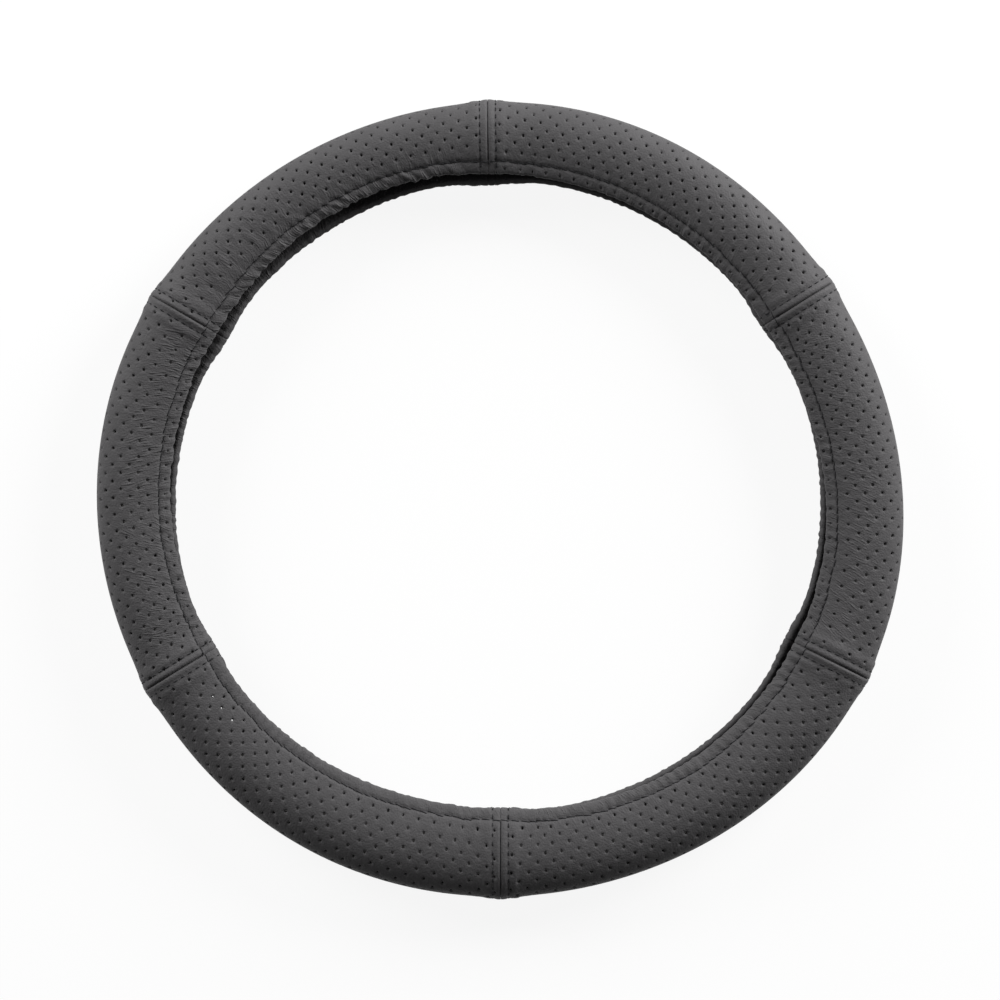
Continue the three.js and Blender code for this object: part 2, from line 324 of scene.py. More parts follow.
def soft_noise(x, y, seed):
    """Smooth random values from -1 to 1 that change over about one unit."""
    cells = np.random.default_rng(seed).uniform(-1, 1, (NOISE_CELLS, NOISE_CELLS))
    x0, y0 = np.floor(x).astype(int), np.floor(y).astype(int)
    fx, fy = x - x0, y - y0
    fx, fy = fx * fx * (3 - 2 * fx), fy * fy * (3 - 2 * fy)
    x0, y0 = x0 % NOISE_CELLS, y0 % NOISE_CELLS
    x1, y1 = (x0 + 1) % NOISE_CELLS, (y0 + 1) % NOISE_CELLS
    low = cells[x0, y0] * (1 - fx) + cells[x1, y0] * fx
    high = cells[x0, y1] * (1 - fx) + cells[x1, y1] * fx
    return low * (1 - fy) + high * fy


def creases(along, across, spacing, run, slant, seed):
    """Round folds with sharp creases between, about run long, leaning by slant across."""
    lean = along + slant * across
    wobble = 0.35 * soft_noise(along / 14, across / 9, seed + 1)
    noise = soft_noise(lean / spacing + wobble, across / run, seed)
    # The lines where the noise is zero become the creases, and the mean height stays near zero
    return 2.2 * np.sqrt(noise**2 + 0.004) - 0.9


print("noise sample %.2f" % soft_noise(np.array([1.3]), np.array([2.7]), 1)[0])

# %% [markdown]
# ## Folds that the elastic and the seams make
#
# The elastic is shorter than the hem, so the hem is drawn up into small pleats that fade out a
# centimetre or two past the stitches. Where the slack ring is bent most, at the upper left and
# the left, the leather keeps longer soft creases. Each region has its own fold spacing, length,
# slant and depth, read from the photograph.

# %% Regions of folds around the ring
FOLD_REGIONS = [  # from and to angle, across from and to, height, spacing, run, slant
    (94, 131, -9, 9, 0.6, 3.6, 16, -1.1),
    (94, 131, 5, 15, 0.24, 2.6, 9, -0.5),
    (131, 161, -9, 9, 0.7, 3.6, 14, -0.9),
    (126, 149, 9, 30, 0.2, 2.6, 14, -0.1),
    (150, 164, 5, 22, 0.12, 2.4, 7, -0.34),
    (162, 181, 5, 30, 0.1, 2.4, 7, -0.3),
    (161, 183, -9, 9, 0.46, 3.2, 9, -0.6),
    (183, 207, -9, 9, 0.46, 3.2, 9, 0.6),
    (183, 205, 4, 30, 0.13, 2.6, 9, 0.5),
    (209, 333, -9, 12, 0.22, 3.0, 8, -0.6),
    (335, 392, -9, 9, 0.3, 3.4, 9, 0.5),
    (335, 391, 6, 24, 0.06, 2.6, 9, 0.3),
    (35, 95, -9, 12, 0.24, 3.2, 9, -0.4),
    (0, 360, 62, 104, 0.2, 3.4, 12, 0.25),
]


def region_weight(angle, across, region):
    start, end, low, high = region[:4]
    middle_angle, half = (start + end) / 2, (end - start) / 2
    away = np.abs((np.degrees(angle) - middle_angle + 180) % 360 - 180)
    around = 1 - smooth(away, half - 4, half + 2)
    return around * smooth(across, low - 3, low + 4) * (1 - smooth(across, high - 7, high + 3))


def fold_height(angle, along, across):
    height = np.zeros_like(along)
    for number, region in enumerate(FOLD_REGIONS):
        by, spacing, run, slant = region[4:]
        pattern = creases(along, across, spacing, run, slant, 10 * number + 3)
        height += by * region_weight(angle, across, region) * pattern
    return height


print("regions of folds:", len(FOLD_REGIONS))

# %% Gathers, stitch dents and puckers
SEAM_STITCH_FROM_SEAM = 3.8
SEAM_STITCH_PITCH = 4.0
SEAM_STITCH_START = 3.4  # a needle hole's place across the leather
SEAM_GROOVE = 0.12  # depth of the groove that the stitches pull in
SEAM_NEEDLE_DENT = 0.3
SEAM_PUCKER = 0.1
ALLOWANCE_RIDGE = 0.2
HEM_STITCH_PITCH = 5.0
HEM_ROW_FROM_END = 2.7
HEM_PUFF = 0.3
HEM_GROOVE = 0.24
HEM_NEEDLE_DENT = 0.3
STITCH_WANDER = 0.42
GATHER_PITCH = 5.6
GATHER_HEIGHT = 0.2


def stitch_wander(along):
    """How far the stitched line strays from its place, where the elastic pulls it about."""
    return STITCH_WANDER * soft_noise(along / 5.2, along * 0, 61)


def hem_pitch(panel):
    """The stitch pitch that divides the panel's row evenly."""
    row_length = panel["length"] - 2 * HEM_ROW_FROM_END
    return row_length / round(row_length / HEM_STITCH_PITCH)


def hem_shape(panel, along, across):
    """Puff, stitched groove and gathers of the nearer hem."""
    from_edge = np.minimum(across, CUT_WIDTH - across) - stitch_wander(along)
    puff = HEM_PUFF * smooth(from_edge, -1, 3) * (1 - smooth(from_edge, 4.6, STITCH_LINE))
    stitch = (along - HEM_ROW_FROM_END) / hem_pitch(panel)
    needle_hole = 0.5 - 0.5 * np.cos(2 * math.pi * stitch)
    groove = np.exp(-(((from_edge - STITCH_LINE) / 0.8) ** 2))
    groove *= HEM_GROOVE + HEM_NEEDLE_DENT * needle_hole
    uneven = 0.75 + 0.5 * soft_noise(along / 23, along * 0, 41)
    wander = 1.6 * soft_noise(along / 11, across / 30, 42)
    gather = GATHER_HEIGHT * uneven * np.cos(2 * math.pi * (along + wander) / GATHER_PITCH)
    reach = smooth(from_edge, -6, -1) * (1 - smooth(from_edge, 5.5, 12))
    return puff - groove + gather * reach


def bent_most(across):
    """1 around the ring's equator, where the leather is pulled tight over the bend."""
    return smooth(across, 38, 43.5) * (1 - smooth(across, 52, 60))


def seam_shape(distance, across, after_seam):
    """Stitch dents in the seam's groove, puckers that run away from it, and the ridge over
    the turned-under edge, which shows on the side that both edges are pressed to."""
    row = np.exp(-(((distance - SEAM_STITCH_FROM_SEAM) / 0.7) ** 2))
    phase = 0.5 + 0.5 * np.cos(2 * math.pi * (across - SEAM_STITCH_START) / SEAM_STITCH_PITCH)
    near = smooth(distance, 0.4, 1.6) * (1 - smooth(distance, 5, 13))
    pucker = SEAM_PUCKER * soft_noise(across / 3.8, distance / 7, 51)
    ridge = ALLOWANCE_RIDGE * smooth(distance, 5.2, 7.4) * (1 - smooth(distance, 7.5, 8.6))
    dents = SEAM_GROOVE + SEAM_NEEDLE_DENT * phase**2
    flatter = 1 - 0.8 * bent_most(across)
    return ridge * after_seam + (near * pucker - row * dents) * flatter


print("hem pitch", HEM_STITCH_PITCH, "mm, seam pitch", SEAM_STITCH_PITCH, "mm")


# %% Wrap flat leather onto the ring
STRAIGHT_UNTIL = 8.0  # from a seam, in planes parallel to it
RADIAL_FROM = 30.0
SEAM_LEAN = {  # degrees that a seam is turned on, and that it leans by every 16 mm outward
    33.4: (0.05, -0.12),
    91.8: (0.08, -0.1),
    207.9: (-0.1, 0.36),
    334: (0.25, -0.08),
}
LEAN_RADIUS = 176  # where a leaning seam keeps its place
LEAN_STEP = 16
UNDERSIDE_FROM, UNDERSIDE_TO = 40, 58  # across the leather, where the underside begins
USUAL_SLIP = 2.1  # how far the underside has slid along the ring
UNDERSIDE_SLIP = {"left": 1.3, "upper_right": 2.5}
# Light shines through three holes, where it hasn't slid
LIGHT_ANGLE = (216.6, 3.2)  # middle and range, degrees
LIGHT_RADIUS = (166.3, 1.6)
LIGHT_ROW_TURN = 0.28  # mm across for each degree, which lays one row of holes on the other
LIGHT_ROW_MIDDLE = 0.4  # degrees past the middle angle, where the two rows cross
FLOOR_SOFTNESS = 0.12
# The power that shapes a folded end's corner: at 1 it is a round quarter, above 1 the valley
# of the seam opens wider, and below 1 it closes up
SEAM_OPENNESS = {33.4: 2.1, 91.8: 1.5, 149.4: 1.25, 207.9: 2.1, 270.1: 1.4, 334: 2.1}
CLOSED_SEAM = 0.4  # the same where the leather is bent most, and the seam is drawn shut
CLOSED_CORNER = 0.28  # the share of the corner's depth that is left there
HEM_ROLL_SHARE = 0.45  # the share of a seam's roll that is left at the hems
HEM_CORNER_SHARE = 0.3  # the share of a folded end's rounding that is left where a hem is sewn
SEWN_PAST_STITCHES = 0.8
PANEL_SHIFT = 37  # mm that the folds' pattern moves on from panel to panel, so none repeats


def wrap(panel, along, across, lift):
    """Places points of a flat panel on the ring. All sizes are in millimetres.

    along: from the panel's first folded end; across: from the upper hem's edge;
    lift: 0 on the grain face and down to minus the thickness on the flesh face.
    """
    from_end = panel["length"] - along
    second = along > panel["length"] / 2
    flat = np.where(second, from_end, along)
    turn = np.clip(flat / END_FOLD, -math.pi / 2, math.pi / 2)
    past = np.maximum(np.abs(flat) - QUARTER_END, 0)
    distance = SEAM_GAP / 2 + END_FOLD * (1 - np.cos(turn)) - lift * np.cos(turn) + past

    def angle_at(radius):
        straight = np.arcsin(np.clip(distance / radius, -1, 1))
        even = distance / RING
        weight = 1 - smooth(distance, STRAIGHT_UNTIL, RADIAL_FROM)
        from_seam = weight * straight + (1 - weight) * even
        return panel["start"] + np.where(second, panel["turn"] - from_seam, from_seam)

    rough = angle_at(RING)
    radius = on_ring(rough, across)[..., 0]
    underside = smooth(across, UNDERSIDE_FROM, UNDERSIDE_TO)
    away = np.degrees(angle_at(radius)) - LIGHT_ANGLE[0]
    aside = np.abs(radius - LIGHT_RADIUS[0]) / LIGHT_RADIUS[1]
    in_line = 1 - smooth(np.maximum(np.abs(away) / LIGHT_ANGLE[1], aside), 1, 2)
    slip = UNDERSIDE_SLIP.get(panel["name"], USUAL_SLIP) * smooth(distance, 1.5, 8)
    slip = slip * underside * (1 - in_line)
    row_shift = LIGHT_ROW_TURN * (away - LIGHT_ROW_MIDDLE) * in_line * underside
    first_turn, first_lean = SEAM_LEAN.get(panel["seam"], (0, 0))
    next_turn, next_lean = SEAM_LEAN.get(panel["next_seam"], (0, 0))
    lean = np.where(second, next_lean, first_lean) * (radius - LEAN_RADIUS) / LEAN_STEP
    lean = np.radians(lean + np.where(second, next_turn, first_turn))
    angle = angle_at(radius) + slip / RING + lean * (1 - smooth(distance, 6, 40))
    radius, height, out_r, out_z = np.moveaxis(on_ring(angle, across + row_shift), -1, 0)

    from_hem = np.minimum(across, CUT_WIDTH - across)
    roll_share = HEM_ROLL_SHARE + (1 - HEM_ROLL_SHARE) * smooth(from_hem, 5, 11)
    in_hem = from_hem < STITCH_LINE + SEWN_PAST_STITCHES
    corner_share = np.where(in_hem, HEM_CORNER_SHARE, 1)
    running = RING * (angle - panel["start"]) + PANEL_SHIFT * PANEL_NAMES.index(panel["name"])
    shape = roll_share * seam_rise(distance)
    shape += hem_shape(panel, along, across) * smooth(distance, 1.5, 5)
    shape += seam_shape(distance, across, ~second)
    shape += fold_height(angle, running, across) * smooth(distance, 3, 12)
    openness = np.where(second, SEAM_OPENNESS[panel["next_seam"]], SEAM_OPENNESS[panel["seam"]])
    shut = bent_most(across)
    openness = openness + (CLOSED_SEAM - openness) * shut
    corner = 1 + (CLOSED_CORNER - 1) * shut
    over = corner * (1 - np.abs(np.sin(turn)) ** openness)
    rounding = np.where(turn > 0, over, corner - (2 - corner) * np.sin(turn))
    depth = corner_share * END_FOLD * rounding - lift * np.sin(turn)
    outward = shape - depth
    # The floor pushes the underside flat, and the whole thickness moves up with it
    grain_z = height + out_z * (outward - lift)
    pushed = 0.5 * (-grain_z + np.sqrt(grain_z**2 + FLOOR_SOFTNESS**2))
    r = radius + out_r * outward
    z = height + out_z * outward + pushed
    return np.stack([r * np.cos(angle), r * np.sin(angle), z], axis=-1), angle


sample, _ = wrap(PANELS[0], np.array([90.0]), np.array([20.0]), np.array([0.0]))
print("a point on the first panel, mm:", sample.round(1))

# %% [markdown]
# ## Cutting and punching a panel
#
# Perforated leather is punched flat, before it is cut and sewn. The holes stand in staggered
# rows, 8 to 9 mm apart along the ring with 4 mm between the rows, and the punch leaves a shallow
# dish round each hole. The rows lie a little askew and bowed, differently on each panel. So a
# panel starts as a flat grid. At each hole a vertex is dissolved, the face that is left is inset
# and rounded, its middle is pressed down, and the floor of the dish is deleted. Extruding the
# whole sheet by the leather's thickness makes real, open holes.

# %% How the holes stand on each panel, read from the photograph
# Slope and bow tilt and curve a row of holes across the panel, lean and drift push it along the
# panel, and fan spreads the rows towards one end
HOLE_PATTERNS = {  # pitch, start, row pitch, row start, slope, bow, lean, drift, fan
    "upper_right": (8.28, 0.47, 4.01, -0.27, -0.013, 3.0, -0.087, 0.4, -0.028),
    "upper_left": (8.18, 7.45, 4.18, 2.56, 0.019, 4.1, -0.001, 0.6, -0.01),
    "left": (8.24, 7.19, 4.25, 1.67, -0.046, 2.2, 0.096, 1.3, -0.024),
    "lower_left": (9.02, 1.3, 4.06, 3.13, 0.016, 2.9, 0.026, 2.2, -0.048),
    "lower_right": (9.12, 4.47, 4.05, 2.77, 0.023, 1.6, -0.081, -2.0, 0.016),
    "right": (8.42, 0.18, 4.11, 4.46, -0.046, 2.0, 0.012, -0.1, 0.009),
}
PATTERN_ACROSS = 28  # the rows are counted from here
PATTERN_REACH = 22  # further across than this, the rows bend no more
HOLE_RADIUS = 0.5
DISH_RADIUS = 1.2
DISH_LIP = 0.18  # how far the leather rounds over before the wall of the dish
LIP_DEPTH = 0.12
DISH_DEPTH = 0.66
IN_HEM_SHARE = 0.75  # how much smaller a hole is that the pleated hem draws together
LEAST_HOLE, LARGEST_HOLE = 0.82, 1.1  # a worn punch leaves holes of uneven size
TRIM_PAST_STITCHES = 1.2
PER_PITCH = 8  # grid lines from hole to hole
PER_ROW = 4


def bent(panel, along, across):
    """Where a point of the straight hole pattern lies on the panel."""
    _, start, _, row_start, slope, bow, lean, drift, fan = HOLE_PATTERNS[panel["name"]]
    u = along - panel["length"] / 2 - start
    v = min(across - PATTERN_ACROSS - row_start, PATTERN_REACH)
    t = u / 100
    from_end = min(along, panel["length"] - along)
    from_hem = min(across, CUT_WIDTH - across)
    leaning = min(from_hem - PATTERN_ACROSS - row_start, PATTERN_REACH)
    # The pattern straightens at the ends and hems, to keep their grid lines straight
    by_along = (lean * leaning + drift * t * t) * smooth(from_end, 1.8, 12)
    by_across = (slope * u + bow * t * t + fan * t * v) * smooth(from_hem, 8.4, 18)
    return along + by_along, across + by_across


pitches = [pattern[0] for pattern in HOLE_PATTERNS.values()]
print("hole pitch %.2f to %.2f mm" % (min(pitches), max(pitches)))

# %% Grid lines that carry the holes
END_LINES = [-SEAM_ALLOWANCE, -5.4, -3.2, -QUARTER_END, -1.2, -0.6, 0, 0.4, 0.8, 1.3, QUARTER_END]
HEM_LINES = [-TURNED_UNDER, -8.0, -5.6, -QUARTER_FOLD, -2.2, -1.46, -0.73, 0, 0.73, 1.46, 2.2]
STITCH_LINES = [-1.1, -0.5, 0, 0.5, 1.1]
SEAM_STITCH_ALONG = SEAM_STITCH_FROM_SEAM - SEAM_GAP / 2 - END_FOLD + QUARTER_END
LEAST_STEP = 0.45


def pattern_lines(origin, step, low, high):
    """Numbers and places of evenly spaced lines between low and high."""
    first = math.ceil((low + LEAST_STEP - origin) / step)
    last = math.floor((high - LEAST_STEP - origin) / step)
    return {number: origin + step * number for number in range(first, last + 1)}


def grid_along(panel):
    pitch, start = HOLE_PATTERNS[panel["name"]][:2]
    length = panel["length"]
    low, high = END_LINES[-1], length - END_LINES[-1]
    even = pattern_lines(length / 2 + start, pitch / PER_PITCH, low, high)
    for place in (SEAM_STITCH_ALONG, length - SEAM_STITCH_ALONG):  # the nearest line moves onto it
        even[min(even, key=lambda number: abs(even[number] - place))] = place
    lines = END_LINES + list(even.values()) + [length - x for x in reversed(END_LINES)]
    return lines, {number: len(END_LINES) + i for i, number in enumerate(even)}


def grid_across(panel):
    row_pitch, row_start = HOLE_PATTERNS[panel["name"]][2:4]
    low, high = HEM_LINES[-1], CUT_WIDTH - HEM_LINES[-1]
    rows = pattern_lines(PATTERN_ACROSS + row_start, row_pitch / PER_ROW, low, high)
    stitched = [STITCH_LINE, CUT_WIDTH - STITCH_LINE]
    clear = STITCH_LINES[-1] + 0.3
    rows = {n: x for n, x in rows.items() if min(abs(x - line) for line in stitched) > clear}
    beside = [line + offset for line in stitched for offset in STITCH_LINES]
    edges = HEM_LINES + [CUT_WIDTH - x for x in HEM_LINES]
    lines = sorted(edges + list(rows.values()) + beside)
    return lines, {number: lines.index(x) for number, x in rows.items()}


print(len(grid_along(PANELS[0])[0]), "lines along and", len(grid_across(PANELS[0])[0]), "across")


# %% One flat, punched panel
def flat_panel(panel):
    along_lines, along_numbers = grid_along(panel)
    across_lines, across_numbers = grid_across(panel)
    columns, rows = len(along_lines), len(across_lines)
    bm = bmesh.new()
    bmesh.ops.create_grid(bm, x_segments=columns - 1, y_segments=rows - 1, size=0.5)
    place = {}
    for vert in bm.verts:
        i = round((vert.co.x + 0.5) * (columns - 1))
        j = round((vert.co.y + 0.5) * (rows - 1))
        vert.co = (*bent(panel, along_lines[i], across_lines[j]), 0)
        place[i, j] = vert

    # The folded ends are trimmed away inside the hems, which would be too thick otherwise
    keep_from = STITCH_LINE + TRIM_PAST_STITCHES
    keep_to = CUT_WIDTH - keep_from
    trimmed = []
    for face in bm.faces:
        middle_point = face.calc_center_median()
        beyond = middle_point.x < 0 or middle_point.x > panel["length"]
        if beyond and not keep_from < middle_point.y < keep_to:
            trimmed.append(face)
    centres = []
    for row, j in across_numbers.items():
        if row % PER_ROW or not {row - 1, row + 1} <= across_numbers.keys():
            continue
        shift = (row // PER_ROW + 1) % 2 * PER_PITCH // 2
        for column, i in along_numbers.items():
            on_pattern = (column - shift) % PER_PITCH == 0
            if on_pattern and {column - 1, column + 1} <= along_numbers.keys():
                centres.append(place[i, j])
    bmesh.ops.delete(bm, geom=trimmed, context="FACES")
    bmesh.ops.dissolve_verts(bm, verts=centres)
    dishes = [face for face in bm.faces if len(face.verts) == 8]
    middles = [face.calc_center_bounds() for face in dishes]
    draws = np.random.default_rng(PANEL_NAMES.index(panel["name"]))
    vary = draws.uniform(LEAST_HOLE, LARGEST_HOLE, len(dishes))
    vary *= [IN_HEM_SHARE if centre.y < STITCH_LINE else 1 for centre in middles]
    for face, centre in zip(dishes, middles):
        for vert in face.verts:
            vert.co = centre + (vert.co - centre).normalized() * DISH_RADIUS
    lip_radii = np.full(len(dishes), DISH_RADIUS - DISH_LIP)
    for radii, depth in ((lip_radii, LIP_DEPTH), (HOLE_RADIUS * vary, DISH_DEPTH)):
        bmesh.ops.inset_individual(bm, faces=dishes, thickness=DISH_LIP, use_even_offset=True)
        for face, centre, radius, by in zip(dishes, middles, radii, vary):
            for vert in face.verts:
                out = vert.co - centre
                out.z = 0
                vert.co = centre + out.normalized() * radius + Vector((0, 0, -depth * by))
    bmesh.ops.delete(bm, geom=dishes, context="FACES_ONLY")
    return bm, len(centres)


GRAIN_SIDE, FLESH_SIDE, CUT_EDGE = range(3)  # a panel's material slots


def thicken(bm):
    """Gives the flat sheet its thickness, and its faces their three finishes."""
    grown = bmesh.ops.extrude_face_region(bm, geom=bm.faces[:], use_keep_orig=True)
    moved = [item for item in grown["geom"] if isinstance(item, bmesh.types.BMVert)]
    bmesh.ops.translate(bm, verts=moved, vec=(0, 0, -LEATHER))
    bmesh.ops.recalc_face_normals(bm, faces=bm.faces[:])
    for face in bm.faces:
        face.smooth = True
        if face.normal.z > 0.5:
            face.material_index = GRAIN_SIDE
        elif face.normal.z < -0.5:
            face.material_index = FLESH_SIDE
        else:
            face.material_index = CUT_EDGE
    for edge in bm.edges:
        if len({face.material_index for face in edge.link_faces}) > 1:
            edge.smooth = False


trial, holes = flat_panel(PANELS[0])
thicken(trial)
print("first panel: %d holes, %d faces" % (holes, len(trial.faces)))
trial.free()


# %% Where hair-fine wrinkles run, and how far they lean
WRINKLE_REGIONS = [  # from and to angle, across from and to, strength, lean
    (149, 165, 2, 25, 0.95, -0.34),
    (163, 182, 2, 28, 0.85, -0.3),
    (181, 206, 2, 32, 0.7, 0.5),
    (124, 150, 6, 34, 0.55, -0.1),
    (92, 125, 4, 18, 0.5, -0.3),
    (335, 392, 2, 28, 0.5, 0.45),
    (35, 90, 2, 20, 0.4, -0.3),
    (209, 333, 6, 14, 0.35, -0.3),
    (209, 333, -12, 6, 1.0, -1.3),
    (0, 360, -12, 7, 0.7, -0.3),
    (94, 166, -12, 9, 1.3, -0.9),
    (0, 360, 60, 106, 0.6, 0.2),
]


def wrinkling(angle, across):
    strength = np.zeros_like(across)
    lean = np.zeros_like(across)
    total = np.full_like(across, 1e-4)
    for region in WRINKLE_REGIONS:
        weight = region_weight(angle, across, region)
        strength = np.maximum(strength, weight * region[4])
        lean += weight * region[5]
        total += weight
    return {"creased": strength, "lean": lean / total}


print("regions of wrinkles:", len(WRINKLE_REGIONS))


# %% Sew the panels on
def build_panel(panel):
    bm, hole_count = flat_panel(panel)
    thicken(bm)
    mesh = bpy.data.meshes.new("leather_" + panel["name"])
    bm.to_mesh(mesh)
    bm.free()
    flat = np.empty(len(mesh.vertices) * 3)
    mesh.vertices.foreach_get("co", flat)
    flat = flat.reshape(-1, 3)
    placed, angle = wrap(panel, flat[:, 0], flat[:, 1], flat[:, 2])
    mesh.vertices.foreach_set("co", (placed * MM).ravel())
    corner_vertex = np.empty(len(mesh.loops), dtype=np.int32)
    mesh.loops.foreach_get("vertex_index", corner_vertex)
    cut = mesh.uv_layers.new(name="flat_cut")
    cut.data.foreach_set("uv", (flat[corner_vertex, :2] * MM).astype(np.float32).ravel())
    for attribute, values in wrinkling(angle, flat[:, 1]).items():
        field = mesh.attributes.new(attribute, "FLOAT", "POINT")
        field.data.foreach_set("value", values.astype(np.float32))
    mesh.update()
    piece = bpy.data.objects.new("leather_" + panel["name"], mesh)
    scene.collection.objects.link(piece)
    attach(piece, "root")
    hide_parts("leather_panel_" + panel["name"])
    triangles = sum(len(face.vertices) - 2 for face in mesh.polygons)
    print("%-20s %4d holes, %6d triangles" % (piece.name, hole_count, triangles))
    return piece


leather_pieces = [build_panel(panel) for panel in PANELS]

# %% [markdown]
# ## Thread
#
# The seams are topstitched on both sides with a thin polyester thread, and each hem has one row
# of longer stitches. At this size a stitch is a short, slightly sunken bead of thread, so each
# is one small stretched sphere, laid along the row and half pressed into the leather.

# %% Lay stitches on the leather
HEM_THREAD_RADIUS = 0.34
SEAM_THREAD_RADIUS = 0.44  # drawn thicker than the real 0.25, to be seen at this size
SEAM_STITCH_LENGTH = 2.7
HEM_STITCH_LENGTH = 4.5
HEM_STITCH_SKEW = -0.22  # a lockstitch lies a little askew to its row
STITCH_SETTLING = 0.25  # the share of the needle holes' depth that a taut stitch sinks by
STITCH_HALF_SHARE = 0.42  # from its middle to where a stitch dips into its needle hole


def lay_stitches(bm, panel, along, across, direction, length):
    """direction is (1, 0) for a row along the ring and (0, 1) for one along a seam."""
    along, across = np.asarray(along, float), np.asarray(across, float)
    flat = np.zeros_like(along)
    half = STITCH_HALF_SHARE * length
    radius = HEM_THREAD_RADIUS if direction[0] else SEAM_THREAD_RADIUS
    skew = HEM_STITCH_SKEW * direction[0]
    before, _ = wrap(panel, along - half * direction[0], across - half * direction[1] + skew, flat)
    after, _ = wrap(panel, along + half * direction[0], across + half * direction[1] - skew, flat)
    aside, _ = wrap(panel, along + 0.5 * direction[1], across + 0.5 * direction[0], flat)
    middle_point, _ = wrap(panel, along, across, flat)
    for a, b, c, m in zip(before, after, aside, middle_point):
        run = Vector(b - a).normalized()
        side = Vector(c - m)
        side = (side - run * side.dot(run)).normalized()
        up = run.cross(side)
        centre = Vector(m).lerp((Vector(a) + Vector(b)) / 2, STITCH_SETTLING)
        centre.z = max(centre.z, radius)
        turned = Matrix((run, side, up)).transposed().to_4x4()
        size = Matrix.Diagonal((length / 2, radius, radius, 1))
        matrix = Matrix.Scale(MM, 4) @ Matrix.Translation(centre) @ turned @ size
        bmesh.ops.create_uvsphere(bm, u_segments=6, v_segments=5, radius=1, matrix=matrix)
    return len(along)


def thread_piece(name, rows):
    bm = bmesh.new()
    count = sum(lay_stitches(bm, *row) for row in rows)
    bmesh.ops.recalc_face_normals(bm, faces=bm.faces[:])
    mesh = bpy.data.meshes.new(name)
    for face in bm.faces:
        face.smooth = True
    bm.to_mesh(mesh)
    bm.free()
    piece = bpy.data.objects.new(name, mesh)
    scene.collection.objects.link(piece)
    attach(piece, "root")
    print("%-24s %d stitches" % (name, count))
    return piece


# %% Rows beside the seams and along the hems
seam_rows = []
first_stitch = SEAM_STITCH_START - SEAM_STITCH_PITCH / 2
last_stitch = CUT_WIDTH - first_stitch
across_places = np.arange(first_stitch, last_stitch, SEAM_STITCH_PITCH)
for panel in PANELS:
    for place in (SEAM_STITCH_ALONG, panel["length"] - SEAM_STITCH_ALONG):
        beside = np.full_like(across_places, place)
        seam_rows.append((panel, beside, across_places, (0, 1), SEAM_STITCH_LENGTH))
seam_thread = thread_piece("seam_topstitch_thread", seam_rows)

hem_threads = []
for name, line, side in (("front", STITCH_LINE, 1), ("rear", CUT_WIDTH - STITCH_LINE, -1)):
    hem_rows = []
    for panel in PANELS:
        row_end = panel["length"] - HEM_ROW_FROM_END / 2
        places = np.arange(HEM_ROW_FROM_END, row_end, hem_pitch(panel))
        beside = line + side * stitch_wander(places)
        hem_rows.append((panel, places, beside, (1, 0), HEM_STITCH_LENGTH))
    hem_threads.append(thread_piece(name + "_hem_thread", hem_rows))

# %% [markdown]
# ## Finishes
#
# Every finish is made of nodes that read the leather's own flat cut map, in metres, or the
# object's coordinates, so its grain keeps its real size and runs with the leather.

# %% A node helper and true colours
def linear(hex_colour):
    """An sRGB colour such as "#434344" as linear red, green, blue and alpha."""
    values = [int(hex_colour[i : i + 2], 16) / 255 for i in (1, 3, 5)]
    return [v / 12.92 if v <= 0.04045 else ((v + 0.055) / 1.055) ** 2.4 for v in values] + [1]


def add_node(tree, kind, links=None, **settings):
    """Adds a node, sets its fields and inputs, and links inputs to other nodes' outputs."""
    node = tree.nodes.new(kind)
    for key, value in settings.items():
        if hasattr(node, key):
            setattr(node, key, value)
        else:
            node.inputs[key.replace("_", " ")].default_value = value
    for key, source in (links or {}).items():
        tree.links.new(source, node.inputs[key])
    return node


def new_material(name, roughness, specular):
    material = bpy.data.materials.new(name)
    material.use_nodes = True
    tree = material.node_tree
    tree.nodes.clear()
    output = tree.nodes.new("ShaderNodeOutputMaterial")
    shader = tree.nodes.new("ShaderNodeBsdfPrincipled")
    shader.inputs["Roughness"].default_value = roughness
    shader.inputs["Specular IOR Level"].default_value = specular
    tree.links.new(shader.outputs["BSDF"], output.inputs["Surface"])
    return material, tree, shader


def colour_between(tree, shader, factor, first, second):
    """Colours the shader from the first to the second sRGB colour as the factor rises."""
    mix = add_node(tree, "ShaderNodeMix", {"Factor": factor}, data_type="RGBA")
    mix.inputs["A"].default_value = linear(first)
    mix.inputs["B"].default_value = linear(second)
    tree.links.new(mix.outputs["Result"], shader.inputs["Base Color"])


LEATHER_GREYS = ("#434243", "#4F4E4F")
print("leather greys, linear:", [round(linear(grey)[0], 3) for grey in LEATHER_GREYS])


